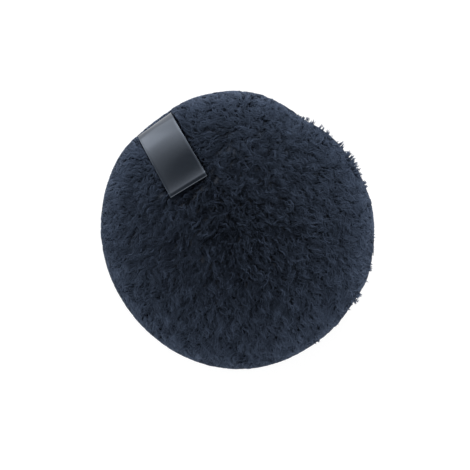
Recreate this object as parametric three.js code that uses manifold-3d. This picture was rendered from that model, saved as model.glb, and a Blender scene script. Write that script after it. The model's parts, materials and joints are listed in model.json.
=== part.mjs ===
// A round plush makeup remover puff: two plush covers sewn together inside out, turned through a gap in the
// seam and filled with a foam disc, with a folded satin ribbon tab caught in the seam and laid over the front.
// Millimetres, +Z up. The origin is the middle of the face that the puff lies on. The tab is at +Y.

import * as THREE from "three";
import { mergeGeometries, mergeVertices } from "three/addons/utils/BufferGeometryUtils.js";
import Module from "manifold-3d";

// The puff, measured over the tips of its pile
const PUFF_DIAMETER = 120;
const FRONT_RISE = 17; // from the seam up to the crown of the front
const BACK_DROP = 13; // from the seam down to the face that it lies on
const REST_DIAMETER = 64; // the part of the back that lies flat
const CROWN_POWER = 2.4; // 2 is an ellipse, and more is a fuller shoulder
const RIM_ROLL = 3; // radius of the plush where it turns in to the seam

// The plush and its seam allowance
const PLUSH_THICKNESS = 6; // knitted ground and standing pile together
const ALLOWANCE_THICKNESS = 1.6; // one ply with its pile crushed flat
const ALLOWANCE_WIDTH = 7; // from the stitches to the cut edge
const STITCH_SETBACK = 1.6; // from the turned plush to the stitches

// The nap of the front, which parts into tufts
const TUFT_PITCH = 6.3; // from the tip of one tuft to the next
const TUFT_DEPTH = 1.3; // from the tips down to the partings, less towards the rim
const TUFT_STRAY = 0.25; // how far tips and partings stray, as a share of the spacing of their rings
const SHEARED_OFF = 0.6; // plush above the tips before the nap is shaped

// The threads
const THREAD_DIAMETER = 0.36;
const STITCH_LENGTH = 6;
const TURNING_GAP = 50; // length of seam that is closed by hand, opposite the tab
const THREAD_BEND = 0.3; // how far each corner of a stitch is cut short
const KNOT_DIAMETER = 1.4;

// The ribbon
const RIBBON_WIDTH = 19;
const RIBBON_THICKNESS = 0.35;
const TAB_LENGTH = 38; // from the seam to the fold
const TAB_SKEW = THREE.MathUtils.degToRad(8.3); // the tab is sewn in a little askew
const LOOP_GAP = 0.4; // between the two plies of the folded ribbon
const TAB_START = 0.35; // height above the seam at which the free loop begins
const TAIL_PAST_STITCHES = 4.5; // how far the ribbon's ends reach past the stitches

// Clearances
const PLY_GAP = 0.3; // between the two seam allowances
const FIT_GAP = 0.3; // between pieces that lie against each other
const THREAD_GAP = 0.2; // between a thread and what it passes

// Facets
const TURN_SEGMENTS = 40;
const OUTER_STEPS = 9;
const INNER_STEPS = 7;
const ROLL_STEPS = 4;
const THREAD_SIDES = 4;
const TAB_STEPS = 14;
const FOLD_STEPS = 4;
const MERGE_DISTANCE = 1e-4;

// Places that follow from those sizes. Heights here are above the middle of the seam.
const PUFF_RADIUS = PUFF_DIAMETER / 2;
const LINING_RADIUS = PUFF_RADIUS - PLUSH_THICKNESS;
const STITCH_RADIUS = LINING_RADIUS - STITCH_SETBACK;
const CUT_EDGE_RADIUS = STITCH_RADIUS - ALLOWANCE_WIDTH;
const ALLOWANCE_UNDER = PLY_GAP / 2;
const ALLOWANCE_TOP = ALLOWANCE_UNDER + ALLOWANCE_THICKNESS;
const SHOULDER_HEIGHT = ALLOWANCE_UNDER + RIM_ROLL;
const THREAD_RADIUS = THREAD_DIAMETER / 2;
const RUN_HEIGHT = ALLOWANCE_TOP + THREAD_GAP + THREAD_RADIUS;
const LOCK_HEIGHT = THREAD_RADIUS + THREAD_GAP / 2;
const LEG_OFFSET = THREAD_DIAMETER + THREAD_GAP;
const LOCK_HOLE = 2 * (LEG_OFFSET + THREAD_RADIUS + THREAD_GAP);
const PLAIN_HOLE = THREAD_DIAMETER + 2 * THREAD_GAP;
const LOOP_THICKNESS = 2 * RIBBON_THICKNESS + LOOP_GAP;
const TAB_BED = LOOP_THICKNESS + FIT_GAP; // the tab presses the pile down until it lies flush
const HINGE_RADIUS = PUFF_RADIUS - LOOP_THICKNESS / 2;
const TAIL_OUTER = HINGE_RADIUS - Math.hypot(TAB_START, LOOP_THICKNESS / 2) - FIT_GAP;
const TAIL_INNER = STITCH_RADIUS - TAIL_PAST_STITCHES;
const TAIL_HEIGHT = FIT_GAP / 2 + RIBBON_THICKNESS / 2;
const POCKET_HEIGHT = FIT_GAP / 2 + RIBBON_THICKNESS + FIT_GAP;
const NAP_RINGS = Math.round((PUFF_RADIUS * Math.sqrt(3)) / TUFT_PITCH);
const NAP_EDGE = PUFF_RADIUS + RIM_ROLL;

const wasm = await Module();
wasm.setup();

// A closed geometry as a solid that can be cut and joined
function solidOf(geometry) {
  const loose = geometry.index ? geometry.toNonIndexed() : geometry.clone();
  loose.deleteAttribute("normal");
  loose.deleteAttribute("uv");
  const merged = mergeVertices(loose, MERGE_DISTANCE);
  const vertProperties = merged.getAttribute("position").array;
  const triVerts = new Uint32Array(merged.index.array);
  return new wasm.Manifold(new wasm.Mesh({ numProp: 3, vertProperties, triVerts }));
}

function geometryOf(solid) {
  const mesh = solid.getMesh();
  const geometry = new THREE.BufferGeometry();
  geometry.setAttribute("position", new THREE.BufferAttribute(mesh.vertProperties, 3));
  geometry.setIndex(new THREE.BufferAttribute(mesh.triVerts, 1));
  geometry.computeVertexNormals();
  return geometry;
}

function cut(geometry, ...tools) {
  let solid = solidOf(geometry);
  for (const tool of tools) {
    solid = solid.subtract(solidOf(tool));
  }
  return geometryOf(solid);
}

// One side of a crown, from its flat middle out to its rim, with a rounded shoulder
function crownPoints(flatRadius, rimRadius, baseHeight, topHeight, steps) {
  const points = [];
  for (let step = 0; step <= steps; step += 1) {
    const angle = (Math.PI / 2) * (1 - step / steps);
    const reach = Math.cos(angle) ** (2 / CROWN_POWER);
    const radius = THREE.MathUtils.lerp(flatRadius, rimRadius, step === 0 ? 0 : reach);
    const height = THREE.MathUtils.lerp(baseHeight, topHeight, Math.sin(angle));
    points.push(new THREE.Vector2(radius, height));
  }
  return points;
}

function arcPoints(centre, radius, startAngle, endAngle, steps) {
  const arc = new THREE.EllipseCurve(centre.x, centre.y, radius, radius, startAngle, endAngle, endAngle < startAngle);
  return arc.getPoints(steps);
}

// A profile of radius and height, turned about the puff's axis
function turned(profile) {
  return new THREE.LatheGeometry(profile, TURN_SEGMENTS).rotateX(Math.PI / 2);
}

function flipped(profile) {
  return profile.map((point) => new THREE.Vector2(point.x, -point.y)).reverse();
}

// Half of the puff's outline as one ply of plush: crown, rolled rim, seam allowance and inside
function coverProfile(flatRadius, rise, stock = 0) {
  const rollCentre = new THREE.Vector2(PUFF_RADIUS - RIM_ROLL, SHOULDER_HEIGHT);
  const outside = crownPoints(flatRadius, PUFF_RADIUS, SHOULDER_HEIGHT, rise + stock, OUTER_STEPS);
  const roll = arcPoints(rollCentre, RIM_ROLL, 0, -Math.PI / 2, ROLL_STEPS).slice(1);
  const allowance = [
    new THREE.Vector2(CUT_EDGE_RADIUS, ALLOWANCE_UNDER),
    new THREE.Vector2(CUT_EDGE_RADIUS, ALLOWANCE_TOP),
    new THREE.Vector2(LINING_RADIUS, ALLOWANCE_TOP),
  ];
  const lining = crownPoints(flatRadius, LINING_RADIUS, SHOULDER_HEIGHT, rise - PLUSH_THICKNESS, INNER_STEPS);
  const profile = [...outside, ...roll, ...allowance, ...lining.reverse()];
  if (flatRadius > 0) {
    profile.unshift(new THREE.Vector2(0, rise + stock));
    profile.push(new THREE.Vector2(0, rise - PLUSH_THICKNESS));
  }
  return profile.reverse();
}

// One face of the foam disc, from its middle out to the groove that beds the seam allowance
function coreFace(flatRadius, rise) {
  const top = rise - PLUSH_THICKNESS - FIT_GAP;
  const rim = LINING_RADIUS - FIT_GAP;
  const grooveHeight = RUN_HEIGHT + THREAD_RADIUS + FIT_GAP;
  const face = crownPoints(flatRadius, rim, SHOULDER_HEIGHT, top, INNER_STEPS);
  if (flatRadius > 0) {
    face.unshift(new THREE.Vector2(0, top));
  }
  face.push(new THREE.Vector2(rim, grooveHeight));
  face.push(new THREE.Vector2(CUT_EDGE_RADIUS - FIT_GAP, grooveHeight));
  return face;
}

// A point of the seam: arc length along it, offset outward from it and height above its middle
function seamPoint(startAngle, along, outward, height) {
  const angle = startAngle + along / STITCH_RADIUS;
  const radius = STITCH_RADIUS + outward;
  return new THREE.Vector3(radius * Math.cos(angle), radius * Math.sin(angle), height);
}

// The machine seam leaves the turning gap open at -Y, and the hand stitches fill that gap
const GAP_ANGLE = TURNING_GAP / STITCH_RADIUS;
const MACHINE_START = -Math.PI / 2 + GAP_ANGLE / 2;
const MACHINE_LENGTH = (2 * Math.PI - GAP_ANGLE) * STITCH_RADIUS;
const MACHINE_STITCHES = Math.round(MACHINE_LENGTH / STITCH_LENGTH);
const MACHINE_PITCH = MACHINE_LENGTH / MACHINE_STITCHES;
const HAND_STITCHES = 2 * Math.round(TURNING_GAP / STITCH_LENGTH / 2);
const HAND_PITCH = TURNING_GAP / (HAND_STITCHES + 1);
const HAND_START = -Math.PI / 2 - GAP_ANGLE / 2;

function needleHoles() {
  const tall = 2 * (ALLOWANCE_TOP + FIT_GAP);
  const holes = [];
  const addHole = (size, startAngle, along) => {
    const hole = new THREE.BoxGeometry(size, size, tall);
    const place = seamPoint(startAngle, along, 0, 0);
    hole.rotateZ(startAngle + along / STITCH_RADIUS);
    holes.push(hole.translate(place.x, place.y, place.z));
  };
  for (let hole = 0; hole <= MACHINE_STITCHES; hole += 1) {
    addHole(LOCK_HOLE, MACHINE_START, hole * MACHINE_PITCH);
  }
  for (let hole = 1; hole <= HAND_STITCHES; hole += 1) {
    addHole(PLAIN_HOLE, HAND_START, hole * HAND_PITCH);
  }
  return mergeGeometries(holes);
}

// A thread through these points, with each corner cut short so that it bends rather than breaks
function threadGeometry(corners) {
  const path = [corners[0]];
  for (let index = 1; index < corners.length - 1; index += 1) {
    for (const neighbour of [corners[index - 1], corners[index + 1]]) {
      const bend = neighbour.clone().sub(corners[index]).setLength(THREAD_BEND);
      path.push(bend.add(corners[index]));
    }
  }
  path.push(corners[corners.length - 1]);
  return tubeGeometry(path);
}

// A closed tube along a path, its section carried from ring to ring without twisting
function tubeGeometry(path) {
  const last = path.length - 1;
  const heading = path[1].clone().sub(path[0]).normalize();
  let side = new THREE.Vector3().crossVectors(heading, path[0]).normalize();
  const rings = path.map((centre, ring) => {
    const tangent = new THREE.Vector3();
    if (ring > 0) {
      tangent.add(centre.clone().sub(path[ring - 1]).normalize());
    }
    if (ring < last) {
      tangent.add(path[ring + 1].clone().sub(centre).normalize());
    }
    tangent.normalize();
    side = side.clone().addScaledVector(tangent, -side.dot(tangent)).normalize();
    const up = new THREE.Vector3().crossVectors(tangent, side);
    return Array.from({ length: THREAD_SIDES }, (_, corner) => {
      const angle = (2 * Math.PI * corner) / THREAD_SIDES;
      const point = centre.clone().addScaledVector(side, THREAD_RADIUS * Math.cos(angle));
      return point.addScaledVector(up, THREAD_RADIUS * Math.sin(angle));
    });
  });
  return ringsGeometry(rings);
}

// The closed skin over a row of rings with equally many corners, and over its two ends
function ringsGeometry(rings) {
  const sides = rings[0].length;
  const end = (rings.length - 1) * sides;
  const triangles = [];
  for (let ring = 0; ring < end; ring += sides) {
    for (let corner = 0; corner < sides; corner += 1) {
      const a = ring + corner;
      const b = ring + ((corner + 1) % sides);
      triangles.push(a, b, b + sides, a, b + sides, a + sides);
    }
  }
  for (let corner = 1; corner < sides - 1; corner += 1) {
    triangles.push(0, corner + 1, corner, end, end + corner, end + corner + 1);
  }
  const geometry = new THREE.BufferGeometry().setFromPoints(rings.flat());
  geometry.setIndex(triangles);
  geometry.computeVertexNormals();
  return geometry;
}

// The needle thread dips a loop into each hole along the seam
function needleThread() {
  const corners = [];
  for (let hole = 0; hole <= MACHINE_STITCHES; hole += 1) {
    const along = hole * MACHINE_PITCH;
    corners.push(seamPoint(MACHINE_START, along - LEG_OFFSET, 0, RUN_HEIGHT));
    corners.push(seamPoint(MACHINE_START, along - LEG_OFFSET, 0, -LOCK_HEIGHT));
    corners.push(seamPoint(MACHINE_START, along + LEG_OFFSET, 0, -LOCK_HEIGHT));
    corners.push(seamPoint(MACHINE_START, along + LEG_OFFSET, 0, RUN_HEIGHT));
  }
  return threadGeometry(corners);
}

// The bobbin thread rises into each hole across the seam and passes through the needle thread's loop
function bobbinThread() {
  const corners = [];
  for (let hole = 0; hole <= MACHINE_STITCHES; hole += 1) {
    const along = hole * MACHINE_PITCH;
    corners.push(seamPoint(MACHINE_START, along, -LEG_OFFSET, -RUN_HEIGHT));
    corners.push(seamPoint(MACHINE_START, along, -LEG_OFFSET, LOCK_HEIGHT));
    corners.push(seamPoint(MACHINE_START, along, LEG_OFFSET, LOCK_HEIGHT));
    corners.push(seamPoint(MACHINE_START, along, LEG_OFFSET, -RUN_HEIGHT));
  }
  return threadGeometry(corners);
}

// The hand stitches run in and out through both plies, with a knot at each end
function closingThread() {
  const firstKnot = seamPoint(HAND_START, HAND_PITCH - KNOT_DIAMETER, 0, RUN_HEIGHT);
  const lastKnot = seamPoint(HAND_START, HAND_PITCH * HAND_STITCHES + KNOT_DIAMETER, 0, RUN_HEIGHT);
  const corners = [firstKnot];
  for (let hole = 1; hole <= HAND_STITCHES; hole += 1) {
    const from = hole % 2 === 1 ? RUN_HEIGHT : -RUN_HEIGHT;
    corners.push(seamPoint(HAND_START, hole * HAND_PITCH, 0, from));
    corners.push(seamPoint(HAND_START, hole * HAND_PITCH, 0, -from));
  }
  corners.push(lastKnot);
  let solid = solidOf(threadGeometry(corners));
  for (const place of [firstKnot, lastKnot]) {
    const knot = new THREE.SphereGeometry(KNOT_DIAMETER / 2, 8, 6);
    knot.scale(1, 1, THREAD_DIAMETER / KNOT_DIAMETER + THREAD_GAP);
    solid = solid.add(solidOf(knot.translate(place.x, place.y, place.z)));
  }
  return geometryOf(solid);
}

// The line along which the tab beds into the pile: up the rim and in over the front
const bedLine = new THREE.SplineCurve([
  new THREE.Vector2(PUFF_RADIUS - TAB_BED, TAB_START),
  ...crownPoints(0, PUFF_RADIUS - TAB_BED, SHOULDER_HEIGHT, FRONT_RISE - TAB_BED, 2 * OUTER_STEPS).reverse(),
]);
const bedLength = bedLine.getLength();

// Lays a point of flat ribbon on the front: distance from the seam, height above the bed, distance across
function laidPoint(distance, height, across) {
  const square = distance - across * Math.tan(TAB_SKEW) * (1 - distance / TAB_LENGTH);
  const inward = square * Math.cos(TAB_SKEW) + across * Math.sin(TAB_SKEW);
  const sideways = across * Math.cos(TAB_SKEW) - square * Math.sin(TAB_SKEW);
  const share = THREE.MathUtils.clamp(inward / bedLength, 0, 1);
  const point = bedLine.getPointAt(share);
  const tangent = bedLine.getTangentAt(share);
  return new THREE.Vector3(sideways, point.x + tangent.y * height, point.y - tangent.x * height);
}

// A line of distance and height, thickened, made as wide as the ribbon and laid on the front
function laidStrip(line, thickness, width) {
  const last = line.length - 1;
  const rings = line.map((point, station) => {
    const heading = line[Math.min(station + 1, last)].clone().sub(line[Math.max(station - 1, 0)]).normalize();
    const corner = (across, above) => {
      const distance = point.x - (heading.y * above * thickness) / 2;
      const height = point.y + (heading.x * above * thickness) / 2;
      return laidPoint(distance, height, (across * width) / 2);
    };
    return [corner(-1, -1), corner(1, -1), corner(1, 1), corner(-1, 1)];
  });
  return ringsGeometry(rings);
}

// A straight run is divided, so that it can bend over the crown
function straightRun(from, to, height) {
  return Array.from({ length: TAB_STEPS + 1 }, (_, step) => {
    return new THREE.Vector2(THREE.MathUtils.lerp(from, to, step / TAB_STEPS), height);
  });
}

// One length of ribbon: out along the lower ply, round the fold and back along the upper ply
function tabGeometry() {
  const foldRadius = (RIBBON_THICKNESS + LOOP_GAP) / 2;
  const foldCentre = new THREE.Vector2(TAB_LENGTH - LOOP_THICKNESS / 2, FIT_GAP + LOOP_THICKNESS / 2);
  const lower = straightRun(0, foldCentre.x, foldCentre.y - foldRadius);
  const fold = arcPoints(foldCentre, foldRadius, -Math.PI / 2, Math.PI / 2, FOLD_STEPS).slice(1, -1);
  const upper = straightRun(foldCentre.x, 0, foldCentre.y + foldRadius);
  return laidStrip([...lower, ...fold, ...upper], RIBBON_THICKNESS, RIBBON_WIDTH);
}

// The hollow that the tab presses into the pile of the front
function tabBed() {
  const line = straightRun(0, TAB_LENGTH + FIT_GAP, PLUSH_THICKNESS / 2);
  return laidStrip(line, PLUSH_THICKNESS, RIBBON_WIDTH + 2 * FIT_GAP);
}

// A flat piece of the skewed ribbon where it runs through the seam, between two distances from the axis
function seamStrip(inner, outer, halfWidth, thickness) {
  const sideAt = (radius, side) => {
    const shift = (HINGE_RADIUS - radius) * Math.tan(TAB_SKEW);
    return new THREE.Vector2(shift + (side * halfWidth) / Math.cos(TAB_SKEW), radius);
  };
  const outline = new THREE.Shape([sideAt(inner, -1), sideAt(inner, 1), sideAt(outer, 1), sideAt(outer, -1)]);
  const strip = new THREE.ExtrudeGeometry(outline, { depth: thickness, bevelEnabled: false });
  return strip.translate(0, 0, -thickness / 2);
}

function tailPocket() {
  const halfWidth = RIBBON_WIDTH / 2 + FIT_GAP;
  return seamStrip(TAIL_INNER - FIT_GAP, PUFF_RADIUS + RIM_ROLL, halfWidth, 2 * POCKET_HEIGHT);
}

function tailGeometry(side) {
  const strip = seamStrip(TAIL_INNER, TAIL_OUTER, RIBBON_WIDTH / 2, RIBBON_THICKNESS);
  return cut(strip.translate(0, 0, side * TAIL_HEIGHT), needleHoles());
}

// A point of the nap: six more in each ring about the crown, and every third point the tip of a tuft
function napPoint(ring, step) {
  const stray = (byRing, byStep) => (ring > 0 ? TUFT_STRAY * Math.sin(byRing * ring + byStep * step) : 0);
  const angle = (Math.PI / 3) * ((step + stray(3, 7)) / Math.max(ring, 1));
  const reach = Math.min((ring + stray(5, 11)) / NAP_RINGS, 1);
  const isTip = ring === 0 || (ring + (step % ring)) % 3 === 0;
  const top = FRONT_RISE - (isTip ? 0 : TUFT_DEPTH);
  const height = THREE.MathUtils.lerp(SHOULDER_HEIGHT, top, Math.sqrt(1 - reach ** CROWN_POWER));
  return new THREE.Vector3(PUFF_RADIUS * reach * Math.cos(angle), PUFF_RADIUS * reach * Math.sin(angle), height);
}

// The last ring of the nap lies outside the rim, level with the ring before it
function napEdge(step) {
  const angle = ((Math.PI / 3) * step) / NAP_RINGS;
  const height = napPoint(NAP_RINGS - 1, 0).z;
  return new THREE.Vector3(NAP_EDGE * Math.cos(angle), NAP_EDGE * Math.sin(angle), height);
}

// The space above the nap, which is cut from the plush of the front
function aboveNap() {
  const points = [napPoint(0, 0)];
  for (let ring = 1; ring <= NAP_RINGS; ring += 1) {
    for (let step = 0; step < 6 * ring; step += 1) {
      points.push(ring < NAP_RINGS ? napPoint(ring, step) : napEdge(step));
    }
  }
  const count = points.length;
  const level = FRONT_RISE + PLUSH_THICKNESS;
  points.push(...points.map((point) => new THREE.Vector3(point.x, point.y, level)));
  const at = (ring, step) => (ring === 0 ? 0 : 1 + 3 * ring * (ring - 1) + (step % (6 * ring)));
  const triangles = [];
  const addFace = (a, b, c) => triangles.push(c, b, a, a + count, b + count, c + count);
  for (let ring = 1; ring <= NAP_RINGS; ring += 1) {
    for (let step = 0; step < 6 * ring; step += 1) {
      const inner = step - Math.floor(step / ring);
      addFace(at(ring - 1, inner), at(ring, step), at(ring, step + 1));
      if (step % ring < ring - 1) {
        addFace(at(ring - 1, inner), at(ring, step + 1), at(ring - 1, inner + 1));
      }
    }
  }
  for (let step = 0; step < 6 * NAP_RINGS; step += 1) {
    const a = at(NAP_RINGS, step);
    const b = at(NAP_RINGS, step + 1);
    triangles.push(a, b, b + count, a, b + count, a + count);
  }
  const geometry = new THREE.BufferGeometry().setFromPoints(points);
  geometry.setIndex(triangles);
  return geometry;
}

function frontCover() {
  const plain = turned(coverProfile(0, FRONT_RISE, SHEARED_OFF));
  return cut(plain, aboveNap(), needleHoles(), tailPocket(), tabBed());
}

function backCover() {
  return cut(turned(flipped(coverProfile(REST_DIAMETER / 2, BACK_DROP))), needleHoles(), tailPocket());
}

function foamCore() {
  const back = flipped(coreFace(REST_DIAMETER / 2, BACK_DROP)).reverse();
  const front = coreFace(0, FRONT_RISE).reverse();
  return turned([...back, ...front]);
}

// Finishes: near-black plush with a blue cast, satin ribbon, white foam and black thread
const plush = () => new THREE.MeshStandardMaterial({ color: 0x20262f, roughness: 0.95, metalness: 0 });
const satin = () => new THREE.MeshStandardMaterial({ color: 0x3a3c40, roughness: 0.45, metalness: 0 });
const foam = () => new THREE.MeshStandardMaterial({ color: 0xf2efe6, roughness: 0.9, metalness: 0 });
const thread = () => new THREE.MeshStandardMaterial({ color: 0x14171c, roughness: 0.7, metalness: 0 });

function piece(name, geometry, material) {
  const mesh = new THREE.Mesh(geometry, material);
  mesh.name = name;
  return mesh;
}

const body = new THREE.Group();
body.position.z = BACK_DROP;
body.add(
  piece("front_cover", frontCover(), plush()),
  piece("back_cover", backCover(), plush()),
  piece("foam_core", foamCore(), foam()),
  piece("seam_needle_thread", needleThread(), thread()),
  piece("seam_bobbin_thread", bobbinThread(), thread()),
  piece("closing_thread", closingThread(), thread()),
  piece("label_tail_front", tailGeometry(1), satin()),
  piece("label_tail_back", tailGeometry(-1), satin()),
);

// The tab flaps about the line where the ribbon leaves the seam
const flap = new THREE.Group();
flap.position.y = HINGE_RADIUS;
flap.add(piece("label_tab", tabGeometry().translate(0, -HINGE_RADIUS, 0), satin()));
body.add(flap);

const puff = new THREE.Group();
puff.add(body);

export default puff;
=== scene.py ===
"""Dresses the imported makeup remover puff: knitted ground, plush pile, foam core and folded satin tab."""

import json
import math
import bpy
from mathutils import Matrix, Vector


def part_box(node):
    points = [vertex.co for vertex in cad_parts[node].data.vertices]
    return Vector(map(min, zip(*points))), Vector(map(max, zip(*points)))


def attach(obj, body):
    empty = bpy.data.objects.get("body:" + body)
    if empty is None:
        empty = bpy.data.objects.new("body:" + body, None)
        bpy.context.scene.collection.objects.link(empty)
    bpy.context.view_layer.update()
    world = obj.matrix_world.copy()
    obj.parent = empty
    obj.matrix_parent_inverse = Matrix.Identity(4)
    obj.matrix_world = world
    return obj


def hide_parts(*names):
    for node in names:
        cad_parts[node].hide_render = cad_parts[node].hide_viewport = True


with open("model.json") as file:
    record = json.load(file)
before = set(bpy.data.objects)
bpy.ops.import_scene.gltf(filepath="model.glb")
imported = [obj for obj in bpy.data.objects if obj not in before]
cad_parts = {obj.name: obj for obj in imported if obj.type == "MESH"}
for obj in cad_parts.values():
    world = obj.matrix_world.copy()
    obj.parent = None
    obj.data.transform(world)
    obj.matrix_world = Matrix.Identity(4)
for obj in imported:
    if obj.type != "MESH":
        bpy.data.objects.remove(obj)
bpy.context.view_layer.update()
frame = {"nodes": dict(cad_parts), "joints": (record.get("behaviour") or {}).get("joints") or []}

from types import SimpleNamespace

import bmesh
import bpy
import numpy as np
from bpy.props import FloatProperty, FloatVectorProperty, IntProperty, PointerProperty
from mathutils import Matrix, Vector, noise
from mathutils.bvhtree import BVHTree
from mathutils.kdtree import KDTree

bl_info = {
    "name": "Plush Makeup Puff",
    "version": (1, 0, 0),
    "blender": (4, 5, 0),
    "location": "View3D > Sidebar > Puff",
    "description": "Builds a plush makeup remover puff round its packed solids",
    "category": "Object",
}

MM = 0.001

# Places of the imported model, in metres
HINGE = Vector(frame["joints"][0]["pos_m"])
SEAM_HEIGHT = HINGE.z
RIM_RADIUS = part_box("back_cover")[1].x
CROWN_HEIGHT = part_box("front_cover")[1].z
REST_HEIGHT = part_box("back_cover")[0].z
TAB_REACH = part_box("label_tab")[0].y

# The plush form, as the solids have it: how full the crown is, the shoulder's height from the seam and
# the radius of the flat back
CROWN_POWER = 2.4
SHOULDER = 3.15 * MM
REST_RADIUS = 32 * MM

# Depth of the pile on the faces and at the rim, and how far its tips stand above the solid's crown
PILE_DEPTH = 1.7 * MM
RIM_PILE_DEPTH = 1.5 * MM
CROWN_PROUD = 0.1 * MM

# The ground cloth: its thickness, its distance from the seam, its roll into the seam and its allowance there
GROUND_THICKNESS = 2.0 * MM
SEAM_GAP = 0.2 * MM
SEAM_ROLL = 2 * MM
ALLOWANCE = 5 * MM

# Filling of the ground cloth: pressure, stiffness, frames, and the most that a point may move
FILL_PRESSURE = 3.0
FILL_STIFFNESS = 4
FILL_FRAMES = 20
FILL_LIMIT = 0.8 * MM

# Steps along the profiles of the ground and the core and round their turn, along the tab's bed, and across
# and along the ribbon, and how near points merge
GROUND_STEPS = 18
GROUND_TURNS = 96
CORE_STEPS = 12
CORE_TURNS = 80
BED_STEPS = 80
RIBBON_STEPS = (26, 130)
MERGE_DISTANCE = 0.01 * MM

# The nap of the front, which parts into tufts as the solid does
TUFT_PITCH = 6.3 * MM
TUFT_DEPTH = 1.3 * MM
TUFT_STRAY = 0.25
NAP_RINGS = round(RIM_RADIUS * math.sqrt(3) / TUFT_PITCH)
PARTING_REACH = RIM_RADIUS / NAP_RINGS

# The pile's pieces on each cover and the seeds of their chance
FRONT_PIECES = 7
FRONT_SEED = 11
BACK_PIECES = 3
BACK_SEED = 23

# The locks: steps of the line that places them, how much closer they stand at the rim, and the radius about
# the crown where they also stand closer
LOCK_LINE_STEPS = 60
RIM_CROWDING = 1.2
CROWDED_RADIUS = 12 * MM

# One fibre: its steps, its root's depth in the ground, and how far tips end past the plush or short of it
FIBRE_STEPS = 5
ROOT_DEPTH = 0.5 * MM
LONG_TIPS = 0.2 * MM
SHORT_TIPS = 0.8 * MM

# Least and most height of flattened fibres above the table, in millimetres, and a way that few fibres run
TABLE_TIPS = (0.1, 0.9)
ASKEW = (0.31, 0.17, 0.93)

# Least and most of the locks' bend and crimp in radians, and of the shares of length, crimp and width
LOCK_BEND = (1.1, 1.5)
LOCK_CRIMP = (0.6, 1.1)
LOCK_LENGTH = (0.8, 1.15)
FIBRE_LENGTH = (0.75, 1.08)
FIBRE_CRIMP = (0.8, 1.2)
FIBRE_BREADTH = (0.75, 1.2)

# How much locks differ at random from those about them, and fibres from the rest of their lock
LOCK_VARIES = SimpleNamespace(tuft_swirl=0.35, swirl=0.3, phase=0.08, curl=0.14, tone=0.11)
FIBRE_VARIES = SimpleNamespace(up=0.06, lean=0.09, bend=0.12, phase=0.05, curl=0.1, tone=0.04)

# Long stray locks: their share, how much paler they are painted at least and at most, as painted glints,
# their length as a share of the others' and how much further they bend
STRAY_SHARE = 0.2
STRAY_PAINTED_GLINT = (0.1, 0.25)
STRAY_LENGTH = 1.3
STRAY_BEND = 0.2

# Share of the fibres that are painted bright as glints and how much paler those are, how much darker fibres
# are than their lock, and the least and most tone
PAINTED_GLINT_SHARE = 0.1
PAINTED_GLINT_TONE = 0.25
FIBRE_DARKER = 0.02
TONE_LIMITS = (0.015, 0.97)

# Tone of the pile: parts that grow with powers of the share of the way from the crown to the rim. Past the
# steady
# first part this is painted light: painted shade that darkens the crown and a painted sheen that brightens
# the rim
PILE_TONE_WITH_PAINTED_LIGHT = ((0.12, 0), (0.35, 1), (0.17, 3), (0.5, 12))

# How far the locks of the front draw to the tips of their tufts, from 0 to 1
TUFT_DRAW = 0.35

# How the front is brushed: the way in the middle, how far that turns towards the rim, and how strong it
# is beside the pile's own lean towards the rim
BRUSHED = math.radians(247)
BRUSH_TURN = math.radians(55)
BRUSHING = 1.2

# Smooth drifts over the pile: their strength, the size of their lumps and a shift of their pattern
SWIRL_DRIFT = (1.0, 9 * MM, 3)
PHASE_DRIFT = (1.2, 8 * MM, 15)
CURL_DRIFT = (0.9, 7 * MM, 21)
TONE_DRIFT = (0.05, 6 * MM, 5)

# The whorl about the crown: its radius, and how far its tufts turn at most, in radians
WHORL_RADIUS = 22 * MM
WHORL_TURN = 1.5

# Locks that stand out past the rim: the share of the radius where they start, their least reach, and the
# least and most of their bend and of the share of their reach that is added to their length
RUFFLE_START = 0.92
RUFFLE_LEAST = 0.5 * MM
RUFFLE_BEND = (0.2, 0.8)
RUFFLE_LENGTH = (0.5, 1.5)

# The dense pile behind the tab: its depth, and its half width as a share of the ribbon's width
BEHIND_TAB_DEPTH = 6 * MM
BEHIND_TAB_SHARE = 0.6

# Where the rim is pressed in or stands out: direction in degrees, depth, half width in degrees
RIM_SWELLS = (
    (17, -1.9 * MM, 24),
    (23, -1.5 * MM, 9),
    (-10, -0.6 * MM, 14),
    (177, -1.5 * MM, 38),
    (52, 1.4 * MM, 15),
    (240, 0.6 * MM, 30),
    (76, 0.5 * MM, 9),
    (107, 0.5 * MM, 9),
    (115, 0.5 * MM, 14),
    (262, -0.5 * MM, 16),
    (290, -0.4 * MM, 10),
    (302, 0.6 * MM, 8),
    (68, 0.5 * MM, 8),
)

# Where the tab presses the front's rim in, and where the back's rim stands out behind it
TAB_PRESS = ((91, -1.3 * MM, 9), (95, -1.2 * MM, 11))
TAB_BACKING = ((92, 0.1 * MM, 9),)

# Where locks stand out past the rim: direction and half width in degrees, how far, and above which looseness
RUFFLES = (
    (2, 22, 3.0 * MM, 0.62),
    (-62, 15, 2.0 * MM, 0.66),
    (-40, 75, 1.6 * MM, 0.81),
)

# The groove round the foam core that beds the seam: its height above and below the seam and its radius, and
# the rounding of the core's edges
GROOVE_HEIGHT = 2.61 * MM
GROOVE_RADIUS = 45.1 * MM
CORE_EDGE = 0.5 * MM

# The ribbon
RIBBON_WIDTH = 19 * MM
RIBBON_THICKNESS = 0.3 * MM
TAB_LENGTH = 38 * MM
TAB_SKEW = math.radians(7.2)
TAB_BED = 1.4 * MM
LOOP_GAP = 0.45 * MM
CREASE_SETBACK = 1.5 * MM
CREASE_WIDTH = 0.6 * MM

# How far below the tab's bed the ground and the pile are pressed, on top and at the rim, how far beside the
# tab, and at how much of its skew
GROUND_PRESS = (2.1 * MM, 3.0 * MM)
PILE_PRESS = (0.9 * MM, 2.3 * MM)
PRESS_MARGIN = 0.2 * MM
PRESS_SKEW = 1.1

# How the loop lies: its clearance from the bed, and how much and how near the seam its layers close up
BED_CLEARANCE = 0.3 * MM
LOOP_CLOSING = 0.45
LOOP_CLOSING_REACH = 9 * MM

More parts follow.
